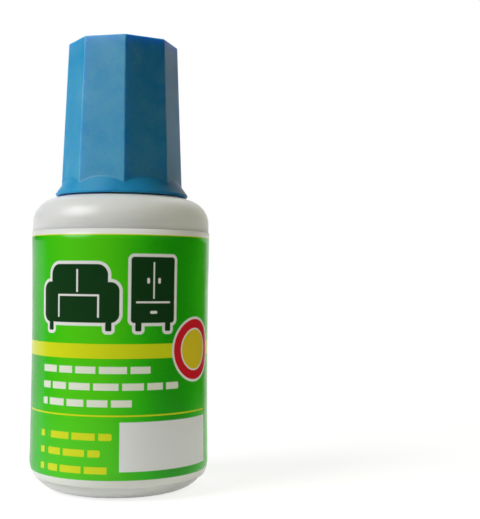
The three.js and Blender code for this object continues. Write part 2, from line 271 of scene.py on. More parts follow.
# Blow-moulded polyethylene: milky, so that light creeps round its edges, with a soft shine and the faint
# orange peel of a blown skin.
IVORY, IVORY_SHADE = "#dfe0df", "#d8d9d5"
PEEL_SIZE = 1.6
CLOUD_SIZE = 11.0
ivory, tree, shader = new_material(
    "blow_moulded_polyethylene",
    IOR=1.54,
    Subsurface_Weight=0.9,
    Subsurface_Radius=(1.0, 0.95, 0.75),
    Subsurface_Scale=1.6 * MM,
)
at = add_node(tree, "TexCoord", {}, {}).outputs["Object"]
cloud = add_node(tree, "TexNoise", {}, {"Vector": at, "Scale": per_mm(CLOUD_SIZE), "Detail": 3.0})
peel = add_node(tree, "TexNoise", {}, {"Vector": at, "Scale": per_mm(PEEL_SIZE), "Detail": 1.0})
finish(tree, shader, cloud.outputs["Fac"], tones=(IVORY_SHADE, IVORY))
finish(tree, shader, peel.outputs["Fac"], roughness=(0.34, 0.42), relief=(0.12, 0.05))
bottle = place("blown_bottle", skin("blown_bottle", bottle_rings), ivory, "bottle", "bottle")

# Label: white polypropylene film, printed in green, yellow and red and laminated with a clear gloss. It is
# glued once round the bottle and lapped over its own start at the back. Its lower edge is drawn in over the
# base's round, where a flat film can only follow in shallow puckers.
LABEL_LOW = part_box("label")[0].z / MM
LABEL_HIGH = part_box("label")[1].z / MM
LABEL_THICKNESS = 0.13
LABEL_GAP = 0.05
LABEL_LAP = 4.0
LABEL_RAMP = 1.6
DRAWN_IN_BELOW = BASE_CORNER + 0.6
PUCKER_RISE, PUCKER_LENGTH = 0.04, 5.2
CORNER_LIFT, CORNER_LIFT_PLACE, CORNER_LIFT_LENGTH = 0.16, 20.4, 2.6


def label_point(turn, z):
    """A point of the label's printed face. The turn starts at the lap, on +Y, and goes by +X to the front."""
    lapped = (turn - math.tau) * BODY_RADIUS + LABEL_RAMP
    lift = min(max(lapped / LABEL_RAMP, 0), 1)
    layer = (LABEL_THICKNESS + LABEL_GAP) * lift * lift * (3 - 2 * lift)
    place_on_print = (math.pi - turn) * BODY_RADIUS
    drawn_in = min(max((DRAWN_IN_BELOW - z) / (DRAWN_IN_BELOW - LABEL_LOW), 0), 1)
    wave = math.sin(math.tau * place_on_print / PUCKER_LENGTH + 2 * math.sin(5 * turn))
    lift_here = CORNER_LIFT * bump(place_on_print - CORNER_LIFT_PLACE, CORNER_LIFT_LENGTH)
    pucker = drawn_in**2 * (PUCKER_RISE * (0.5 + 0.5 * wave) + lift_here)
    r = wall_radius(z) + LABEL_GAP + LABEL_THICKNESS + layer + pucker
    return (r * math.sin(turn), r * math.cos(turn), z)


label_turns = spaced(0, math.tau + LABEL_LAP / BODY_RADIUS, 300)
label_heights = spaced(LABEL_LOW, BASE_CORNER + 1, 14) + spaced(BASE_CORNER + 1, LABEL_HIGH, 20)[1:]
film = bmesh.new()
flat = film.loops.layers.uv.new("print_mm")
printed_at = {}
columns = []
for turn in label_turns:
    column = []
    for z in label_heights:
        corner = film.verts.new(Vector(label_point(turn, z)) * MM)
        printed_at[corner] = ((math.pi - turn) * BODY_RADIUS, z)
        column.append(corner)
    columns.append(column)
for left, right in zip(columns, columns[1:]):
    for i in range(len(label_heights) - 1):
        face = film.faces.new([left[i], left[i + 1], right[i + 1], right[i]])
        for loop in face.loops:
            loop[flat].uv = printed_at[loop.vert]
for edge in film.edges:
    edge.smooth = not edge.is_boundary
label_mesh = bpy.data.meshes.new("printed_label")
film.to_mesh(label_mesh)
film.free()

# Gloss-laminated printed film: full, even inks under a clear skin that mirrors the bright surroundings at
# the sides. The yellow plate is a touch wider than the green one, so a yellow hairline shows over it.
FILM_WHITE, PANEL_WHITE = "#e5e5e2", "#e2e3e5"
GREEN_DEEP, GREEN, GREEN_LIGHT = "#1f9e0f", "#30bb12", "#4fc815"
DARK_GREEN, YELLOW, RED, GOLD = "#153a1a", "#d0d81c", "#cf1f2b", "#d8c227"
GREEN_LOW, GREEN_HIGH = 3.6, 42.0
HAIRLINE = 0.14
INK_EDGE = 0.05
INK_CORNER = 0.06
label_film, tree, shader = new_material("printed_gloss_film", IOR=1.5, Specular_IOR_Level=0.2)
at = add_node(tree, "UVMap", {"uv_map": "print_mm"}, {}).outputs["UV"]
place_of = add_node(tree, "SeparateXYZ", {}, {"Vector": at})


def outside(left, right, low, high, corner):
    """How far the print lies outside a rectangle with round corners, in millimetres on the flat label."""
    middle = ((left + right) / 2, (low + high) / 2, 0)
    half = ((right - left) / 2 - corner, (high - low) / 2 - corner, 0)
    away = add_node(tree, "VectorMath", {"operation": "SUBTRACT"}, {0: at, 1: middle}).outputs[0]
    away = add_node(tree, "VectorMath", {"operation": "ABSOLUTE"}, {0: away}).outputs[0]
    away = add_node(tree, "VectorMath", {"operation": "SUBTRACT"}, {0: away, 1: half}).outputs[0]
    away = add_node(tree, "VectorMath", {"operation": "MAXIMUM"}, {0: away, 1: (0, 0, 0)}).outputs[0]
    away = add_node(tree, "VectorMath", {"operation": "LENGTH"}, {0: away}).outputs["Value"]
    return add_node(tree, "Math", {"operation": "SUBTRACT"}, {0: away, 1: corner}).outputs[0]


def overprint(under, away, ink, reach=0.0):
    """The colour so far, overprinted with an ink up to a reach outside a form, where the ink ends softly."""
    edge = {"From Min": reach - INK_EDGE, "From Max": reach + INK_EDGE, "To Min": 1.0, "To Max": 0.0}
    share = add_node(tree, "MapRange", {}, {"Value": away, **edge}).outputs["Result"]
    return add_node(tree, "Mix", {"data_type": "RGBA"}, {"Factor": share, 6: under, 7: ink}).outputs[2]


# Ground: soft upright bands of lighter and deeper green, between white margins. The bands are partly print
# and partly painted light: one lighter band is set at the front left, where the key lamp lights the label
# most.
BAND_PERIOD = 30.0
# Where the lightest band sits on the front: painted light from the key lamp, over the print's bands
PAINTED_LIGHT_BAND_PEAK = -6.0
MOTTLE_SIZE, MOTTLE_SHARE = 0.5, 0.16
bands = add_node(
    tree,
    "TexWave",
    {"bands_direction": "X"},
    {
        "Vector": at,
        "Scale": math.tau / (20 * BAND_PERIOD),
        "Distortion": 0.6,
        "Detail Scale": 6.0,
        "Phase Offset": math.pi - math.tau * PAINTED_LIGHT_BAND_PEAK / BAND_PERIOD,
    },
)
mottle = add_node(tree, "TexNoise", {}, {"Vector": at, "Scale": 1 / MOTTLE_SIZE, "Detail": 2.0})
tone_share = add_node(
    tree,
    "Math",
    {"operation": "MULTIPLY_ADD"},
    {0: mottle.outputs["Fac"], 1: MOTTLE_SHARE, 2: bands.outputs["Fac"]},
)
green = add_node(tree, "ValToRGB", {}, {"Fac": tone_share.outputs[0]})
green.color_ramp.elements[0].position, green.color_ramp.elements[0].color = 0.08, linear(GREEN_DEEP)
green.color_ramp.elements[1].position, green.color_ramp.elements[1].color = 1.0, linear(GREEN_LIGHT)
green.color_ramp.elements.new(0.4).color = linear(GREEN)
ROUND_ABOUT = 60.0
hairline = outside(-ROUND_ABOUT, ROUND_ABOUT, GREEN_LOW + 1, GREEN_HIGH + HAIRLINE, INK_CORNER)
print_colour = overprint(linear(FILM_WHITE), hairline, linear(YELLOW))
ground = outside(-ROUND_ABOUT, ROUND_ABOUT, GREEN_LOW, GREEN_HIGH, INK_CORNER)
print_colour = overprint(print_colour, ground, green.outputs["Color"])

# Band all round, and a plain roundel that sits on it
BAND_LOW, BAND_HIGH = 22.6, 24.9
band = outside(-ROUND_ABOUT, ROUND_ABOUT, BAND_LOW, BAND_HIGH, INK_CORNER)
print_colour = overprint(print_colour, band, linear(YELLOW))
ROUNDEL_ACROSS = 13.6
roundel_height = (BAND_LOW + BAND_HIGH) / 2
for radius, ink in ((5.3, FILM_WHITE), (4.9, RED), (3.45, FILM_WHITE), (3.2, GOLD)):
    centre = outside(ROUNDEL_ACROSS, ROUNDEL_ACROSS, roundel_height, roundel_height, 0)
    print_colour = overprint(print_colour, centre, linear(ink), reach=radius)

# A sofa and a cupboard as plain pictures, dark with white keylines and white joints
SOFA = (
    (-12.6, -2.4, 30.4, 37.4, 1.7),
    (-14.4, -11.2, 28.2, 34.6, 1.4),
    (-3.8, -0.6, 28.2, 34.6, 1.4),
    (-12.4, -2.6, 28.2, 32.4, 0.4),
    (-13.2, -12.2, 26.9, 28.8, 0.2),
    (-2.8, -1.8, 26.9, 28.8, 0.2),
)
CUPBOARD = (
    (1.2, 8.6, 28.2, 38.6, 0.5),
    (1.9, 2.9, 26.9, 28.8, 0.2),
    (6.9, 7.9, 26.9, 28.8, 0.2),
)
JOINTS = (
    (-7.65, -7.35, 33.0, 36.6, 0.1),
    (-11.2, -3.8, 32.35, 32.65, 0.1),
    (-11.2, -10.9, 29.0, 32.5, 0.1),
    (-4.1, -3.8, 29.0, 32.5, 0.1),
    (4.77, 5.03, 32.0, 37.8, 0.1),
    (2.0, 7.8, 31.3, 31.6, 0.1),
    (3.75, 4.2, 34.4, 35.3, 0.2),
    (5.6, 6.05, 34.4, 35.3, 0.2),
    (4.3, 5.5, 29.65, 30.1, 0.2),
)
KEYLINE = 0.5
away = None
for form in SOFA + CUPBOARD:
    next_away = outside(*form)
    if away:
        next_away = add_node(tree, "Math", {"operation": "MINIMUM"}, {0: away, 1: next_away}).outputs[0]
    away = next_away
print_colour = overprint(print_colour, away, linear(FILM_WHITE), reach=KEYLINE)
print_colour = overprint(print_colour, away, linear(DARK_GREEN))
for joint in JOINTS:
    print_colour = overprint(print_colour, outside(*joint), linear(FILM_WHITE))

# Lines of plain bars, broken at uneven lengths
BAR_WHITE = "#e0e4d4"
ROW_PITCH, ROW_SHIFT = 2.6, 7.7
BAR_HEIGHT, BAR_CORNER = 1.1, 0.3
BAR_LENGTH, BAR_GAP = 4.0, 0.56
row = add_node(tree, "Math", {"operation": "MULTIPLY"}, {0: place_of.outputs["Y"], 1: 1 / ROW_PITCH})
row = add_node(tree, "Math", {"operation": "ROUND"}, {0: row.outputs[0]})
along = add_node(
    tree,
    "Math",
    {"operation": "MULTIPLY_ADD"},
    {0: row.outputs[0], 1: ROW_SHIFT * BAR_LENGTH, 2: place_of.outputs["X"]},
)
breaks = add_node(
    tree,
    "TexVoronoi",
    {"voronoi_dimensions": "1D", "feature": "DISTANCE_TO_EDGE"},
    {"W": along.outputs[0], "Scale": 1 / BAR_LENGTH, "Randomness": 0.55},
)
in_break = add_node(
    tree,
    "Math",
    {"operation": "MULTIPLY_ADD"},
    {0: breaks.outputs["Distance"], 1: -BAR_LENGTH, 2: BAR_GAP / 2},
)
BAR_LINES = (
    (20.8, -14.6, 4.6, BAR_WHITE),
    (18.2, -14.6, 9.6, BAR_WHITE),
    (15.6, -14.6, 1.8, BAR_WHITE),
    (10.4, -13.0, -1.6, YELLOW),
    (7.8, -13.0, -3.4, YELLOW),
    (5.2, -13.0, -2.2, YELLOW),
)
for z, left, right, ink in BAR_LINES:
    away = outside(left, right, z - BAR_HEIGHT / 2, z + BAR_HEIGHT / 2, BAR_CORNER)
    bar = add_node(tree, "Math", {"operation": "MAXIMUM"}, {0: away, 1: in_break.outputs[0]})
    print_colour = overprint(print_colour, bar.outputs[0], linear(ink))
BULLETS = tuple((-15.0, -14.0, z - 0.5, z + 0.5, 0.1) for z in (10.4, 7.8, 5.2))
RULE = (-20.0, 17.0, 13.55, 13.8, 0.05)
for form in (*BULLETS, RULE):
    print_colour = overprint(print_colour, outside(*form), linear(YELLOW))

# Blocks of finer lines on the sides and the back
FINE_BAR_HEIGHT = 0.75
FINE_BLOCKS = (
    (-43.0, -25.0, 25.4, 40.2, 0.1),
    (-43.0, -29.0, 4.4, 21.8, 0.1),
    (25.0, 41.0, 25.4, 40.2, 0.1),
    (25.0, 37.0, 12.0, 21.8, 0.1),
)
from_row = add_node(
    tree,
    "Math",
    {"operation": "MULTIPLY_ADD"},
    {0: row.outputs[0], 1: -ROW_PITCH, 2: place_of.outputs["Y"]},
)
from_row = add_node(tree, "Math", {"operation": "ABSOLUTE"}, {0: from_row.outputs[0]})
off_row = add_node(tree, "Math", {"operation": "SUBTRACT"}, {0: from_row.outputs[0], 1: FINE_BAR_HEIGHT / 2})
off_bar = add_node(tree, "Math", {"operation": "MAXIMUM"}, {0: off_row.outputs[0], 1: in_break.outputs[0]})
for block in FINE_BLOCKS:
    fine = add_node(tree, "Math", {"operation": "MAXIMUM"}, {0: outside(*block), 1: off_bar.outputs[0]})
    print_colour = overprint(print_colour, fine.outputs[0], linear(BAR_WHITE))

# Bare white panel to write on
PANEL = (-0.4, 17.2, 5.0, 12.7, 0.1)
print_colour = overprint(print_colour, outside(*PANEL), linear(PANEL_WHITE))

# A few small scuffs through to the white, and a film that lies in slight waves under its gloss
WAVE_SIZE = 5.0
SCUFF_SPACING, SCUFF_CORE, SCUFF_REACH, SCUFF_SHARE = 9.0, 0.014, 0.026, 0.8


def specked(tree, at, scale, core, reach, most, under, ink):
    """The colour so far, strewn with small specks that reach a share of the way to the next one."""
    specks = add_node(tree, "TexVoronoi", {}, {"Vector": at, "Scale": scale, "Randomness": 1.0})
    edge = {"From Min": core, "From Max": reach, "To Min": most, "To Max": 0.0}
    share = add_node(tree, "MapRange", {}, {"Value": specks.outputs["Distance"], **edge}).outputs["Result"]
    return add_node(tree, "Mix", {"data_type": "RGBA"}, {"Factor": share, 6: under, 7: ink}).outputs[2]


scuffed = specked(
    tree, at, 1 / SCUFF_SPACING, SCUFF_CORE, SCUFF_REACH, SCUFF_SHARE, print_colour, linear(FILM_WHITE)
)
tree.links.new(scuffed, shader.inputs["Base Color"])
wander = add_node(tree, "TexNoise", {}, {"Vector": at, "Scale": 1 / WAVE_SIZE, "Detail": 1.0})
finish(tree, shader, wander.outputs["Fac"], roughness=(0.18, 0.27), relief=(0.3, 0.05))
label = place("printed_label", label_mesh, label_film, "label", "bottle")

# Cut edge and back of the film: bare white plastic, dull and slightly uneven where the blade went through
EDGE_SHADE, EDGE_GRAIN = "#d8d8d2", 0.8
cut_edge, tree, shader = new_material("cut_film_edge", IOR=1.5, Roughness=0.4)
grain = add_node(tree, "TexNoise", {}, {"Scale": per_mm(EDGE_GRAIN)})
finish(tree, shader, grain.outputs["Fac"], tones=(EDGE_SHADE, FILM_WHITE), span=(0, 1))
label_mesh.materials.append(cut_edge)
thickness = label.modifiers.new("film_thickness", "SOLIDIFY")
thickness.thickness = LABEL_THICKNESS * MM
thickness.offset = -1
thickness.material_offset = 1
thickness.material_offset_rim = 1

# Mixing ball: a carbon steel ball, cold-headed from wire and tumbled bright but not ground, so that it keeps
# a faint belt where the dies met and a dimple at each pole. It lies loose on the bottle's floor.
ball_low, ball_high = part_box("mixing_ball")
ball_centre = (ball_low + ball_high) / 2 / MM
ball_radius = (ball_high.z - ball_low.z) / 2 / MM
BELT_RISE, BELT_WIDTH = 0.02, 0.07
POLE_DIMPLE, POLE_WIDTH = 0.05, 0.16
BALL_LEAN = Euler((0.9, 0.3, 0)).to_matrix()
ball_rings = []
for rise in spaced(-math.pi / 2, math.pi / 2, 40):
    from_pole = math.pi / 2 - abs(rise)
    r = ball_radius - BELT_RISE + BELT_RISE * bump(rise, BELT_WIDTH)
    r -= POLE_DIMPLE * bump(from_pole, POLE_WIDTH)
    flat_radius = r * math.cos(rise) if from_pole > 1e-6 else 0
    ring = turned_ring(flat_radius, r * math.sin(rise), spaced(0, math.tau, 64)[:-1])
    ball_rings.append([BALL_LEAN @ Vector(p) + ball_centre for p in ring])

# Tumbled carbon steel: bright and grey, with short fine scuffs in every direction. The scuffs are drawn about
# ten times as wide as real ones, to show at all.
SCUFF_SIZE = 0.25
STEEL, STEEL_DULL = "#c3c4c6", "#8e9094"
steel, tree, shader = new_material("tumbled_carbon_steel", Metallic=1.0)
at = add_node(tree, "TexCoord", {}, {}).outputs["Object"]
scuffs = add_node(
    tree,
    "TexNoise",
    {},
    {"Vector": at, "Scale": per_mm(SCUFF_SIZE), "Detail": 4.0, "Roughness": 0.7, "Distortion": 2.5},
)
scuffed = scuffs.outputs["Fac"]
finish(tree, shader, scuffed, (STEEL_DULL, STEEL), (0.3, 0.62), roughness=(0.36, 0.2), relief=(0.2, 0.02))
place("steel_ball", skin("steel_ball", ball_rings), steel, "mixing_ball", "ball")

# Wiper ring: moulded in soft low-density polyethylene and pressed into the neck. Its flange lies on the lip,
# and its tube narrows to a thin edge that strips paint off the stem.
WIPER_LOW, WIPER_TOP = (p.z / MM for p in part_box("wiper_ring"))
WIPER_FLANGE_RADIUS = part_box("wiper_ring")[1].x / MM
WIPER_FLANGE_LOW = NECK_LIP + 0.05
WIPER_OUTER, WIPER_WALL = NECK_BORE - 0.05, 0.8
WIPER_HOLE, WIPER_EDGE = 3.0, 0.6
WIPER_SOFTENING = 0.22


MOST_OF_A_SIDE = 0.45


def softened(outline, radius, steps=4):
    """A closed outline in the profile plane with its corners rounded off."""
    points = []
    for before, corner, after in zip(outline[-1:] + outline[:-1], outline, outline[1:] + outline[:1]):
        corner = Vector(corner)
        back, on = Vector(before) - corner, Vector(after) - corner
        cut = min(radius, MOST_OF_A_SIDE * back.length, MOST_OF_A_SIDE * on.length)
        start, end = corner + back.normalized() * cut, corner + on.normalized() * cut
        for t in spaced(0, 1, steps):
            points.append(tuple(start * (1 - t) ** 2 + corner * (2 * t * (1 - t)) + end * t * t))
    return points


wiper_inner = WIPER_OUTER - WIPER_WALL
wiper_outline = [
    (WIPER_HOLE, WIPER_LOW),
    (WIPER_OUTER - WIPER_WALL / 2, WIPER_LOW),
    (WIPER_OUTER, WIPER_LOW + WIPER_WALL),
    (WIPER_OUTER, WIPER_FLANGE_LOW),
    (WIPER_FLANGE_RADIUS, WIPER_FLANGE_LOW),
    (WIPER_FLANGE_RADIUS, WIPER_TOP),
    (wiper_inner, WIPER_TOP),
    (wiper_inner, WIPER_LOW + WIPER_EDGE + wiper_inner - WIPER_HOLE),
    (WIPER_HOLE, WIPER_LOW + WIPER_EDGE),
]
wiper_turns = spaced(0, math.tau, 96)[:-1]
wiper_rings = [turned_ring(r, z, wiper_turns) for r, z in softened(wiper_outline, WIPER_SOFTENING)]

# Moulded low-density polyethylene: undyed, so cloudy and see-through at its thin edges, with a waxy shine.
NATURAL, NATURAL_CLOUD = "#ecebe3", "#dddcd2"
WIPER_CLOUD_SIZE = 3.0
natural, tree, shader = new_material(
    "moulded_soft_polyethylene",
    IOR=1.51,
    Subsurface_Weight=0.9,
    Subsurface_Radius=(1.0, 1.0, 0.9),
    Subsurface_Scale=2.0 * MM,
)
at = add_node(tree, "TexCoord", {}, {}).outputs["Object"]
cloud = add_node(tree, "TexNoise", {}, {"Vector": at, "Scale": per_mm(WIPER_CLOUD_SIZE), "Detail": 3.0})
finish(tree, shader, cloud.outputs["Fac"], tones=(NATURAL_CLOUD, NATURAL), roughness=(0.34, 0.44))
wiper_mesh = skin("moulded_wiper", wiper_rings, closed=True)
place("moulded_wiper", wiper_mesh, natural, "wiper_ring", "bottle")

# Cap: one injection moulding in blue polypropylene. Eight drafted flats run out in scallops on a flared round
# foot. Inside are the screw thread and the tube that grips the brush, and the gate's scar is on top.
CAP_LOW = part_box("cap")[0].z / MM
CAP_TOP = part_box("cap")[1].z / MM
CAP_SIDES = 8
CAP_DRAFT = math.tan(math.radians(2.17))
SLEEVE_TOP = 63.72
FLAT_AT_SLEEVE_TOP = 8.94
CAP_BORE = 7.95
CAP_CEILING = CAP_TOP - 1.5
BORE_STEP = 0.65
SOCKET_BORE, SOCKET_OUTSIDE = 2.05, 3.15
EDGE_ROUND = 0.035
TOP_ROUND = 0.2
FLARE_SLOPE = math.tan(math.radians(36))
FLARE_LIP = 0.35
FLARE_WALL = 0.9
FLARE_FILLET = 0.22
CAP_THREAD_RISE, CAP_THREAD_START = 0.42, 54.4
GATE_WELL, GATE_DEPTH, GATE_SCAR = 1.7, 0.3, 0.6
GATE_TAPER, SCAR_TAPER, SCAR_EDGE, SCAR_MIDDLE = 0.25, 0.1, 0.08, 0.04
rim_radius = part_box("cap")[1].x / MM
lip_top = CAP_LOW + FLARE_LIP
half_side = math.pi / CAP_SIDES
edge_centre = (1 - EDGE_ROUND) / math.cos(half_side)
edge_turn = math.atan2(EDGE_ROUND * math.sin(half_side), edge_centre + EDGE_ROUND * math.cos(half_side))


def flat_at(z):
    """Distance from the axis to a flat."""
    return FLAT_AT_SLEEVE_TOP + (SLEEVE_TOP - z) * CAP_DRAFT


def octagon(turn):
    """Radius of an octagon with round corners whose flats are 1 from the axis, with a corner at -Y."""
    from_corner = (turn + math.pi / 2) % (2 * half_side)
    from_corner = min(from_corner, 2 * half_side - from_corner)
    if from_corner > edge_turn:
        return 1 / math.cos(half_side - from_corner)
    reach = edge_centre * math.sin(from_corner)
    return edge_centre * math.cos(from_corner) + math.sqrt(EDGE_ROUND**2 - reach**2)


def crease_height(share):
    """Where a flat, at a share of its distance from the axis, meets the flare."""
    flat_at_zero = flat_at(0) * share
    flare_at_zero = rim_radius + lip_top * FLARE_SLOPE
    return (flare_at_zero - flat_at_zero) / (FLARE_SLOPE - CAP_DRAFT * share)


def cap_column(turn):
    """The cap's outside from its lip to the edge of its top, at one turn about the axis."""
    share = octagon(turn)
    crease = crease_height(share)
    line = arc(rim_radius - FLARE_LIP / 2, CAP_LOW + FLARE_LIP / 2, FLARE_LIP / 2, -math.pi / 2, 0, 4)
    line += [(rim_radius - (z - lip_top) * FLARE_SLOPE, z) for z in spaced(lip_top, crease - FLARE_FILLET, 6)]
    low = (rim_radius - (crease - FLARE_FILLET - lip_top) * FLARE_SLOPE, crease - FLARE_FILLET)
    corner = (flat_at(crease) * share, crease)
    high = (flat_at(crease + FLARE_FILLET) * share, crease + FLARE_FILLET)
    for t in spaced(0, 1, 5)[1:]:
        line.append(
            tuple(a * (1 - t) ** 2 + 2 * b * t * (1 - t) + c * t * t for a, b, c in zip(low, corner, high))
        )
    line += [(flat_at(z) * share, z) for z in spaced(crease + FLARE_FILLET, CAP_TOP - TOP_ROUND, 14)[1:]]
    edge = flat_at(CAP_TOP - TOP_ROUND) * share
    line += arc(edge - TOP_ROUND, CAP_TOP - TOP_ROUND, TOP_ROUND, 0, math.pi / 2, 4)[1:]
    return [(r * math.cos(turn), r * math.sin(turn), z) for r, z in line]


cap_turns = []
for side in range(CAP_SIDES):
    corner_at = -math.pi / 2 + 2 * half_side * side
    cap_turns += [corner_at + edge_turn * share for share in (-1, -0.6, -0.2, 0.2, 0.6, 1)]
    cap_turns += spaced(corner_at + edge_turn, corner_at + 2 * half_side - edge_turn, 24)[1:-1]
cap_columns = [cap_column(turn) for turn in cap_turns]
cap_rings = [list(ring) for ring in zip(*cap_columns)]
for share in (0.8, 0.5, 0.3):
    cap_rings.append([(x * share, y * share, CAP_TOP) for x, y, z in cap_rings[-1]])
gate_floor = CAP_TOP - GATE_DEPTH
gate = [(GATE_WELL, CAP_TOP), (GATE_WELL - GATE_TAPER, gate_floor), (GATE_SCAR, gate_floor)]
gate += [(GATE_SCAR - SCAR_TAPER, CAP_TOP - SCAR_EDGE), (0, CAP_TOP - SCAR_MIDDLE)]
cap_rings += [turned_ring(r, z, cap_turns) for r, z in gate]

mouth_radius = rim_radius - FLARE_WALL
sleeve_low = CAP_LOW + (mouth_radius - CAP_BORE) / FLARE_SLOPE
upper_bore = CAP_BORE - BORE_STEP
ceiling_bore = upper_bore - (CAP_CEILING - SLEEVE_TOP - BORE_STEP) * CAP_DRAFT
cap_inside = [(mouth_radius, CAP_LOW)]
cap_inside += [(CAP_BORE, z) for z in spaced(sleeve_low, SLEEVE_TOP, 60)]
cap_inside += [(upper_bore, SLEEVE_TOP + BORE_STEP), (ceiling_bore, CAP_CEILING)]
cap_inside += [(SOCKET_OUTSIDE, CAP_CEILING), (SOCKET_OUTSIDE, SLEEVE_TOP), (SOCKET_BORE, SLEEVE_TOP)]
cap_inside += [(SOCKET_BORE, CAP_CEILING), (0, CAP_CEILING)]


def cap_inner_ring(r, z):
    """One ring of the cap's inside, with the thread where it runs on the screw sleeve."""
    if r != CAP_BORE:
        return turned_ring(r, z, cap_turns)
    ring = []
    for turn in cap_turns:
        bore = r - CAP_THREAD_RISE * thread_share(turn, z, CAP_THREAD_START)
        ring.append((bore * math.cos(turn), bore * math.sin(turn), z))
    return ring


cap_rings = [cap_inner_ring(r, z) for r, z in reversed(cap_inside)] + cap_rings
cap_mesh = skin("moulded_cap", cap_rings)

# Painted sheen and wear: the flats and the top are painted hazy and the eight corners pale, partly as finger
# wear and partly as painted sheen of the satin's reflections and painted highlight lines along the corners.
# The flare is left nearly alone.
FLARE_SHEEN_AND_WEAR, FLAT_SHEEN_AND_WEAR, CORNER_HIGHLIGHT_AND_WEAR = 0.12, 0.5, 1.0
CORNER_SHARE, BELOW_TOP = 0.9, 0.01
sheen_and_wear = [FLARE_SHEEN_AND_WEAR] * sum(len(ring) for ring in cap_rings[: len(cap_inside)])
for ring in cap_rings[len(cap_inside) :]:
    for turn, point in zip(cap_turns, ring):
        from_corner = (turn + math.pi / 2 + half_side) % (2 * half_side) - half_side
        if point[2] < crease_height(octagon(turn)) + FLARE_FILLET / 2:
            sheen_and_wear.append(FLARE_SHEEN_AND_WEAR)
        else:
            on_corner = abs(from_corner) < CORNER_SHARE * edge_turn and point[2] < CAP_TOP - BELOW_TOP
            sheen_and_wear.append(CORNER_HIGHLIGHT_AND_WEAR if on_corner else FLAT_SHEEN_AND_WEAR)
cap_mesh.attributes.new("painted_sheen_and_wear", "FLOAT", "POINT").data.foreach_set("value", sheen_and_wear)

# Injection-moulded polypropylene: waxy and a little translucent, so light bleeds past the corners of the
# flats. A paler haze, cloudy with a fine grain, is partly handling wear and partly painted sheen, and there
# are a few tiny dark specks.
BLUE, BLUE_SHEEN_AND_WORN, SPECK = "#0e93c8", "#6cb6cd", "#174a66"
FLOW_SIZE = 7.0
GRAIN_SIZE = 0.45
GRAIN_SHARE = 0.25
SPECK_SPACING, SPECK_CORE, SPECK_REACH = 4.5, 0.014, 0.028
blue, tree, shader = new_material(
    "moulded_blue_polypropylene",
    IOR=1.49,
    Specular_IOR_Level=0.4,
    Subsurface_Weight=0.9,
    Subsurface_Radius=(0.1, 0.35, 1.0),
    Subsurface_Scale=3.5 * MM,
)
at = add_node(tree, "TexCoord", {}, {}).outputs["Object"]
flow = add_node(
    tree,
    "TexNoise",
    {},
    {"Vector": at, "Scale": per_mm(FLOW_SIZE), "Detail": 7.0, "Roughness": 0.62, "Distortion": 0.5},
)
grain = add_node(tree, "TexNoise", {}, {"Vector": at, "Scale": per_mm(GRAIN_SIZE), "Detail": 2.0})
clouded = add_node(
    tree,
    "Math",
    {"operation": "MULTIPLY_ADD"},
    {0: grain.outputs["Fac"], 1: GRAIN_SHARE, 2: flow.outputs["Fac"]},
)
haze_and_sheen = add_node(
    tree,
    "MapRange",
    {},
    {"Value": clouded.outputs[0], "From Min": 0.45, "From Max": 0.8, "To Min": 0.15, "To Max": 1.0},
)
painted_sheen_and_wear = add_node(tree, "Attribute", {"attribute_name": "painted_sheen_and_wear"}, {})
sheen_and_rubbing = add_node(
    tree, "Math", {"operation": "MULTIPLY"}, {0: painted_sheen_and_wear.outputs["Fac"], 1: haze_and_sheen.outputs["Result"]}
)
# Mixes in the paler blue: painted sheen on the flats and painted highlights on the corners, along with their
# wear
tone = add_node(
    tree,
    "Mix",
    {"data_type": "RGBA"},
    {"Factor": sheen_and_rubbing.outputs[0], 6: linear(BLUE), 7: linear(BLUE_SHEEN_AND_WORN)},
)
spotted = specked(
    tree, at, per_mm(SPECK_SPACING), SPECK_CORE, SPECK_REACH, 1.0, tone.outputs[2], linear(SPECK)
)
tree.links.new(spotted, shader.inputs["Base Color"])
finish(tree, shader, flow.outputs["Fac"], roughness=(0.36, 0.56))
finish(tree, shader, grain.outputs["Fac"], relief=(0.15, 0.04))
place("moulded_cap", cap_mesh, blue, "cap", "cap")

# Liner: a washer die-cut from a sheet of closed-cell polyethylene foam. It is slipped over the stem up to the
# flange, and its underside keeps the dent of the neck on which it seals.
LINER_LOW, LINER_TOP = (p.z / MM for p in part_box("cap_liner"))
LINER_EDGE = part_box("cap_liner")[1].x / MM
LINER_HOLE = 2.35
LINER_SOFTENING = 0.2
DENT_DEPTH, DENT_RADIUS, DENT_WIDTH = 0.16, 5.6, 1.1
liner_outline = softened(
    [(LINER_HOLE, LINER_LOW), (LINER_EDGE, LINER_LOW), (LINER_EDGE, LINER_TOP), (LINER_HOLE, LINER_TOP)],
    LINER_SOFTENING,
)
dented = []
for r in spaced(LINER_HOLE + LINER_SOFTENING, LINER_EDGE - LINER_SOFTENING, 30)[1:-1]:
    press = min(1, max(0, 1.5 - abs(r - DENT_RADIUS) / DENT_WIDTH))
    dented.append((r, LINER_LOW + DENT_DEPTH * press * press * (3 - 2 * press)))
corner_points = len(liner_outline) // 4
liner_outline = liner_outline[:corner_points] + dented + liner_outline[corner_points:]
liner_rings = [turned_ring(r, z, wiper_turns) for r, z in liner_outline]

# Die-cut polyethylene foam: matt and white, with its cells open along the cuts. The cells are drawn a little
# wider than real ones.
CELL_SIZE = 0.4
FOAM, FOAM_CELL = "#f1f0ea", "#d6d4cb"
foam, tree, shader = new_material("die_cut_polyethylene_foam", IOR=1.5, Roughness=0.85)
at = add_node(tree, "TexCoord", {}, {}).outputs["Object"]
cells = add_node(
    tree, "TexVoronoi", {"feature": "DISTANCE_TO_EDGE"}, {"Vector": at, "Scale": per_mm(CELL_SIZE)}
)
finish(tree, shader, cells.outputs["Distance"], tones=(FOAM, FOAM_CELL), span=(0.02, 0.35))
dimple = add_node(
    tree,
    "Bump",
    {"invert": True},
    {"Height": cells.outputs["Distance"], "Strength": 0.5, "Distance": 0.08 * MM},
)
tree.links.new(dimple.outputs["Normal"], shader.inputs["Normal"])
liner_mesh = skin("foam_liner", liner_rings, closed=True)
place("foam_liner", liner_mesh, foam, "cap_liner", "liner")

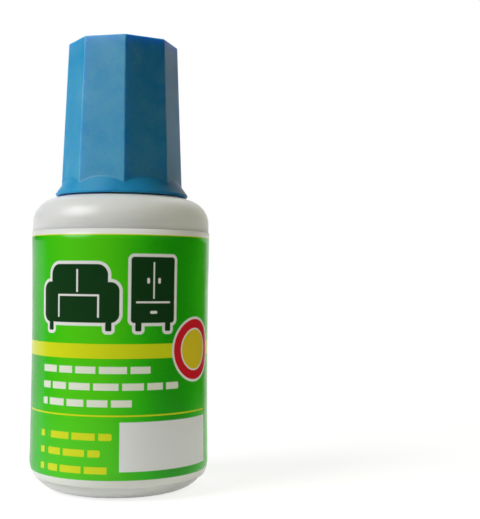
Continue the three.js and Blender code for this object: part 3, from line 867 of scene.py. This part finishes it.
# Brush stem: one moulding in white polypropylene. Its head is pressed into the cap's tube, its flange backs
# the liner, and its tapered rod is bored at the tip for the bristles. The mould left a line up each side.
STEM_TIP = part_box("brush_stem")[0].z / MM
STEM_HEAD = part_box("brush_stem")[1].z / MM
STEM_FLANGE_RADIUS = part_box("brush_stem")[1].x / MM
FLANGE_LOW, FLANGE_TOP = LINER_TOP + 0.05, SLEEVE_TOP - 0.05
ROD_TIP_RADIUS, ROD_ROOT_RADIUS = 1.8, 2.15
HEAD_RADIUS = 2.0
TUFT_HOLE, TUFT_HOLE_DEPTH = 1.25, 4.0
STEM_NOSE = 0.4
STEM_SOFTENING = 0.18
STEM_LINE_RISE, STEM_LINE_WIDTH = 0.035, 0.12
stem_outline = [
    (0, STEM_TIP + TUFT_HOLE_DEPTH),
    (TUFT_HOLE, STEM_TIP + TUFT_HOLE_DEPTH),
    (TUFT_HOLE, STEM_TIP),
    (ROD_TIP_RADIUS - STEM_NOSE / 2, STEM_TIP),
    (ROD_TIP_RADIUS, STEM_TIP + STEM_NOSE),
    (ROD_ROOT_RADIUS, FLANGE_LOW - STEM_NOSE),
    (ROD_ROOT_RADIUS, FLANGE_LOW),
    (STEM_FLANGE_RADIUS, FLANGE_LOW),
    (STEM_FLANGE_RADIUS, FLANGE_TOP),
    (HEAD_RADIUS, FLANGE_TOP),
    (HEAD_RADIUS, STEM_HEAD - STEM_NOSE),
    (HEAD_RADIUS - STEM_NOSE / 2, STEM_HEAD),
    (0, STEM_HEAD),
]
stem_turns = mould_turns(96)
stem_rings = [[(0, 0, STEM_TIP + TUFT_HOLE_DEPTH)]]
for r, z in softened(stem_outline, STEM_SOFTENING)[5:-5]:
    on_rod = r > TUFT_HOLE + 0.1 and STEM_TIP + STEM_NOSE < z < FLANGE_LOW - STEM_NOSE / 2
    ring = []
    for turn in stem_turns:
        line = STEM_LINE_RISE * bump(r * math.sin(turn), STEM_LINE_WIDTH) if on_rod else 0
        ring.append(((r + line) * math.cos(turn), (r + line) * math.sin(turn), z))
    stem_rings.append(ring)
stem_rings.append([(0, 0, STEM_HEAD)])

# Injection-moulded polypropylene: white and waxy, with faint flow clouds along the rod.
STEM_WHITE, STEM_CLOUD = "#eceae2", "#dfddd2"
STEM_CLOUD_SIZE, STEM_CLOUD_STRETCH = 1.5, 0.2
white, tree, shader = new_material(
    "moulded_white_polypropylene",
    IOR=1.49,
    Subsurface_Weight=0.8,
    Subsurface_Radius=(1.0, 1.0, 0.85),
    Subsurface_Scale=1.2 * MM,
)
at = add_node(tree, "TexCoord", {}, {}).outputs["Object"]
at = add_node(tree, "Mapping", {}, {"Vector": at, "Scale": (1, 1, STEM_CLOUD_STRETCH)}).outputs["Vector"]
flow = add_node(tree, "TexNoise", {}, {"Vector": at, "Scale": per_mm(STEM_CLOUD_SIZE), "Detail": 3.0})
finish(tree, shader, flow.outputs["Fac"], tones=(STEM_CLOUD, STEM_WHITE), roughness=(0.36, 0.46))
place("moulded_stem", skin("moulded_stem", stem_rings), white, "brush_stem", "cap")

# Anchor: a short strip of half-hard brass that is driven into the stem's hole with the bristles folded over
# it. The blow leaves it slightly bowed and its edges turned.
anchor_low, anchor_high = (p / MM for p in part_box("tuft_anchor"))
ANCHOR_CORNER = 0.09
ANCHOR_BOW = 0.03
anchor_rings = []
for share in spaced(0, 1, 12):
    end = min(share, 1 - share) * (anchor_high.z - anchor_low.z)
    drawn_in = max(0, ANCHOR_CORNER - end)
    half_length = anchor_high.x - drawn_in
    half_thickness = anchor_high.y - ANCHOR_BOW - drawn_in
    corners = [(half_length * x, half_thickness * y) for x, y in ((1, 1), (-1, 1), (-1, -1), (1, -1))]
    ring = softened(corners, ANCHOR_CORNER)
    z = anchor_low.z + share * (anchor_high.z - anchor_low.z)
    bow = ANCHOR_BOW * math.sin(math.pi * share)
    anchor_rings.append([(x, y + bow, z) for x, y in ring])
anchor_rings.insert(0, [(0, 0, anchor_low.z)])
anchor_rings.append([(0, 0, anchor_high.z)])

# Drawn brass: warm and bright, streaked along the strip by the die. The streaks are drawn wider than real.
BRASS, BRASS_DULL = "#d3ae5e", "#a8843e"
STREAK_WIDTH, STREAK_STRETCH = 0.12, 0.08
brass, tree, shader = new_material("drawn_brass", Metallic=1.0)
at = add_node(tree, "TexCoord", {}, {}).outputs["Object"]
at = add_node(tree, "Mapping", {}, {"Vector": at, "Scale": (STREAK_STRETCH, 1, 1)}).outputs["Vector"]
streaks = add_node(tree, "TexNoise", {}, {"Vector": at, "Scale": per_mm(STREAK_WIDTH), "Detail": 2.0})
finish(tree, shader, streaks.outputs["Fac"], tones=(BRASS_DULL, BRASS), roughness=(0.25, 0.4))
place("brass_anchor", skin("brass_anchor", anchor_rings), brass, "tuft_anchor", "cap")

# Tuft: several hundred nylon bristles, folded over the anchor and gripped in the stem. They part round the
# anchor, swell out below the stem and end in a cut dome, with a few that stray.
TUFT_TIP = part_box("bristle_tuft")[0].z / MM
TUFT_RADIUS = 1.2
TUFT_SWELL = 1.35
TUFT_DOME = 0.2
BRISTLE_COUNT = 480
BRISTLE_RADIUS = 0.045
BRISTLE_STRAY, BRISTLE_SWAY = 0.12, 0.6
BRISTLE_TAPER = 0.45
ROOT_CLEARANCE, PARTING_REACH = 0.15, 0.4
SHORTEST_CUT = 0.96
WORN_LENGTH = 3.2
BRISTLE_SIDES = 5
PARTING = anchor_high.y + 2 * BRISTLE_RADIUS
GOLDEN_TURN = math.pi * (3 - math.sqrt(5))
draw = random.Random(7)
tuft = bmesh.new()
for i in range(BRISTLE_COUNT):
    share = (i + 0.5) / BRISTLE_COUNT
    away = (TUFT_RADIUS - 2 * BRISTLE_RADIUS) * math.sqrt(share)
    across = Vector((away * math.cos(i * GOLDEN_TURN), away * math.sin(i * GOLDEN_TURN)))
    length = (STEM_TIP - TUFT_TIP) * (1 - TUFT_DOME * share) * draw.uniform(SHORTEST_CUT, 1)
    stray = Vector((draw.gauss(0, BRISTLE_STRAY), draw.gauss(0, BRISTLE_STRAY)))
    sway = Vector((draw.gauss(0, BRISTLE_STRAY), draw.gauss(0, BRISTLE_STRAY)))
    rows = []
    stations = spaced(STEM_TIP + TUFT_HOLE_DEPTH - ROOT_CLEARANCE, STEM_TIP, 4)[:-1]
    stations += spaced(STEM_TIP, STEM_TIP - length, 11)
    for z in stations:
        out = max(0, (STEM_TIP - z) / length)
        swell = 1 + (TUFT_SWELL - 1) * math.sin(math.pi * min(1, out * 1.2) * 0.72)
        middle = across * swell + stray * out * out + sway * math.sin(math.pi * out) * BRISTLE_SWAY
        if z > anchor_low.z - PARTING_REACH:
            middle.y = math.copysign(max(abs(middle.y), PARTING), middle.y)
        radius = BRISTLE_RADIUS * (1 - BRISTLE_TAPER * out**3)
        row = []
        for side in range(BRISTLE_SIDES):
            turn = math.tau * side / BRISTLE_SIDES
            point = Vector((middle.x + radius * math.cos(turn), middle.y + radius * math.sin(turn), z))
            row.append(tuft.verts.new(point * MM))
        rows.append(row)
    for high, low in zip(rows, rows[1:]):
        for side in range(BRISTLE_SIDES):
            after = (side + 1) % BRISTLE_SIDES
            tuft.faces.new([high[side], low[side], low[after], high[after]])
    tuft.faces.new(rows[0])
    tuft.faces.new(rows[-1][::-1])
bmesh.ops.recalc_face_normals(tuft, faces=tuft.faces)
tuft_mesh = bpy.data.meshes.new("nylon_tuft")
tuft.to_mesh(tuft_mesh)
tuft.free()

# Drawn nylon filament: dark and smooth, so each bristle has a line of light along it. The bristles differ a
# little in tone, and are paler where use has worn their ends.
NYLON, NYLON_PALE, NYLON_WORN = "#241f1c", "#3b332d", "#5c5148"
nylon, tree, shader = new_material("drawn_nylon_filament", IOR=1.53, Roughness=0.32)
island = add_node(tree, "NewGeometry", {}, {}).outputs["Random Per Island"]
at = add_node(tree, "TexCoord", {}, {}).outputs["Object"]
height = add_node(tree, "SeparateXYZ", {}, {"Vector": at}).outputs["Z"]
tone = add_node(tree, "ValToRGB", {}, {"Fac": island})
tone.color_ramp.elements[0].color = linear(NYLON)
tone.color_ramp.elements[1].color = linear(NYLON_PALE)
ends = {"From Min": (TUFT_TIP + WORN_LENGTH) * MM, "From Max": TUFT_TIP * MM, "To Min": 0.0, "To Max": 0.7}
worn = add_node(tree, "MapRange", {}, {"Value": height, **ends})
paled = add_node(
    tree,
    "Mix",
    {"data_type": "RGBA"},
    {"Factor": worn.outputs["Result"], 6: tone.outputs["Color"], 7: linear(NYLON_WORN)},
)
tree.links.new(paled.outputs[2], shader.inputs["Base Color"])
place("nylon_tuft", tuft_mesh, nylon, "bristle_tuft", "cap")

# Floor: a round sheet of white card, just under the bottle's ring. To the camera and in reflections it is as
# white as the surroundings, less the bottle's shadow, and it gives the bottle no light of its own.
FLOOR_RADIUS = 0.11
FLOOR_GAP = 0.02 * MM
FLOOR_GLOW = 0.8
FIBRE_SIZE = 0.9
CARD_FIBRE, CARD, CARD_SEEN = "#f3f3f2", "#fafaf9", "#959593"


def set_up(name, form, material):
    """Puts a form of the stage, which isn't part of the object, in the scene."""
    mesh = bpy.data.meshes.new(name)
    form.to_mesh(mesh)
    form.free()
    mesh.materials.append(material)
    piece = bpy.data.objects.new(name, mesh)
    bpy.context.scene.collection.objects.link(piece)
    return piece


def seen_rays(tree):
    """1 for the rays that show the stage itself: the camera's, the mirrored and the refracted ones."""
    ray = add_node(tree, "LightPath", {}, {})
    seen = ray.outputs["Is Camera Ray"]
    for other in ("Is Glossy Ray", "Is Transmission Ray"):
        seen = add_node(tree, "Math", {"operation": "MAXIMUM"}, {0: seen, 1: ray.outputs[other]}).outputs[0]
    return seen


card = bmesh.new()
bmesh.ops.create_circle(card, cap_ends=True, radius=FLOOR_RADIUS, segments=96)
white_card, tree, shader = new_material("white_card", Roughness=0.9, Specular_IOR_Level=0.0)
seen = seen_rays(tree)
fibre = add_node(tree, "TexNoise", {}, {"Scale": per_mm(FIBRE_SIZE), "Detail": 3.0})
card_tone = add_node(tree, "ValToRGB", {}, {"Fac": fibre.outputs["Fac"]})
card_tone.color_ramp.elements[0].color = linear(CARD_FIBRE)
card_tone.color_ramp.elements[1].color = linear(CARD)
seen_tone = add_node(
    tree,
    "Mix",
    {"data_type": "RGBA"},
    {"Factor": seen, 6: card_tone.outputs["Color"], 7: linear(CARD_SEEN)},
)
tree.links.new(seen_tone.outputs[2], shader.inputs["Base Color"])
glow = add_node(tree, "Math", {"operation": "MULTIPLY"}, {0: seen, 1: FLOOR_GLOW})
shader.inputs["Emission Color"].default_value = (1, 1, 1, 1)
tree.links.new(glow.outputs[0], shader.inputs["Emission Strength"])
floor = set_up("white_card", card, white_card)
floor.location.z = -FLOOR_GAP

# Room: a dim dome over the camera's side, out of its sight, which keeps the front reflections deep. Above the
# white surroundings it reaches further back on the left, and less far on the right.
ROOM_RADIUS = 0.75
LOW_LEFT, LOW_RIGHT = math.radians(-114), math.radians(142)
HIGH_LEFT, HIGH_RIGHT = math.radians(-152), math.radians(128)
HIGH_FROM = math.radians(8)
DOME_FOOT, DOME_TOP = math.radians(-80), math.radians(88)
DIM = "#322f2a"
dome = bmesh.new()
dome_rows = []
for rise in spaced(DOME_FOOT, DOME_TOP, 36):
    row = []
    ends = (HIGH_LEFT, HIGH_RIGHT) if rise > HIGH_FROM else (LOW_LEFT, LOW_RIGHT)
    for a in spaced(*ends, 48):
        level = ROOM_RADIUS * math.cos(rise)
        row.append(dome.verts.new((level * math.sin(a), -level * math.cos(a), ROOM_RADIUS * math.sin(rise))))
    dome_rows.append(row)
for low, high in zip(dome_rows, dome_rows[1:]):
    for i in range(len(low) - 1):
        dome.faces.new([low[i], low[i + 1], high[i + 1], high[i]])
dim_room, tree, shader = new_material(
    "dim_room", Roughness=0.9, Specular_IOR_Level=0.0, Base_Color=linear(DIM)
)
room = set_up("dim_room", dome, dim_room)
room.visible_camera = False

# Surroundings: white to the camera and in reflections, and a low even light on everything else.
AMBIENT = 0.9
world = bpy.data.worlds.new("white_surroundings")
world.use_nodes = True
bpy.context.scene.world = world
tree = world.node_tree
background = tree.nodes["Background"]
background.inputs["Color"].default_value = (1, 1, 1, 1)
strength = add_node(tree, "MapRange", {}, {"Value": seen_rays(tree), "To Min": AMBIENT, "To Max": 1.0})
tree.links.new(strength.outputs["Result"], background.inputs["Strength"])

# Key lamp: a soft box to the left of the camera and above it
KEY_DIRECTION = Vector((-0.725, -0.325, 0.607))
KEY_DISTANCE = 0.6
KEY_SIZE = 0.4
KEY_POWER = 3.7
AIM = Vector((0, 0, 0.04))


def soft_box(name, direction, distance, size, power):
    """A round soft lamp, aimed at the middle of the bottle."""
    light = bpy.data.lights.new(name, "AREA")
    light.shape = "DISK"
    light.size = size
    light.energy = power
    lamp = bpy.data.objects.new(name, light)
    lamp.location = AIM + direction.normalized() * distance
    lamp.rotation_mode = "QUATERNION"
    lamp.rotation_quaternion = direction.to_track_quat("Z", "Y")
    bpy.context.scene.collection.objects.link(lamp)
    return lamp


soft_box("key_lamp", KEY_DIRECTION, KEY_DISTANCE, KEY_SIZE, KEY_POWER)

# Fill: a weak, warm reflector in front on the right, shaded off the cap, so that only the bottle gets it
FILL_DIRECTION = Vector((0.78, -0.5, 0.5))
FILL_DISTANCE = 0.16
FILL_SIZE = 0.12
FILL_POWER = 0.085
FILL_WARM = "#fdfbe2"
fill = soft_box("fill", FILL_DIRECTION, FILL_DISTANCE, FILL_SIZE, FILL_POWER)
fill.data.color = linear(FILL_WARM)[:3]
fill.visible_glossy = False
fill.visible_camera = False
lit_by_fill = bpy.data.collections.new("lit_by_fill")
for piece in (bottle, label, floor):
    lit_by_fill.objects.link(piece)
fill.light_linking.receiver_collection = lit_by_fill

# Camera: at half the bottle's height, a little left of the front, looking past its right side
IMAGE_HEIGHT = 519
FOCAL_PIXELS = 1024.14
CAMERA_DISTANCE, CAMERA_HEIGHT, CAMERA_TURN = 176.02, 35.33, 0.025
CAMERA_YAW, CAMERA_PITCH, CAMERA_ROLL = 0.1153, 0.0185, 0.0085
camera_data = bpy.data.cameras.new("camera")
camera_data.sensor_width = 36
camera_data.lens = FOCAL_PIXELS / IMAGE_HEIGHT * camera_data.sensor_width
camera_data.clip_start = 0.01
camera = bpy.data.objects.new("camera", camera_data)
camera.location = (
    -CAMERA_DISTANCE * MM * math.sin(CAMERA_TURN),
    -CAMERA_DISTANCE * MM * math.cos(CAMERA_TURN),
    CAMERA_HEIGHT * MM,
)
turn_right = Euler((0, 0, -(CAMERA_YAW + CAMERA_TURN))).to_matrix()
look_level = Euler((math.pi / 2 + CAMERA_PITCH, 0, 0)).to_matrix()
lean = Euler((0, 0, CAMERA_ROLL)).to_matrix()
camera.rotation_euler = (turn_right @ look_level @ lean).to_euler()
bpy.context.scene.collection.objects.link(camera)
bpy.context.scene.camera = camera
bpy.context.scene.view_settings.view_transform = "Standard"
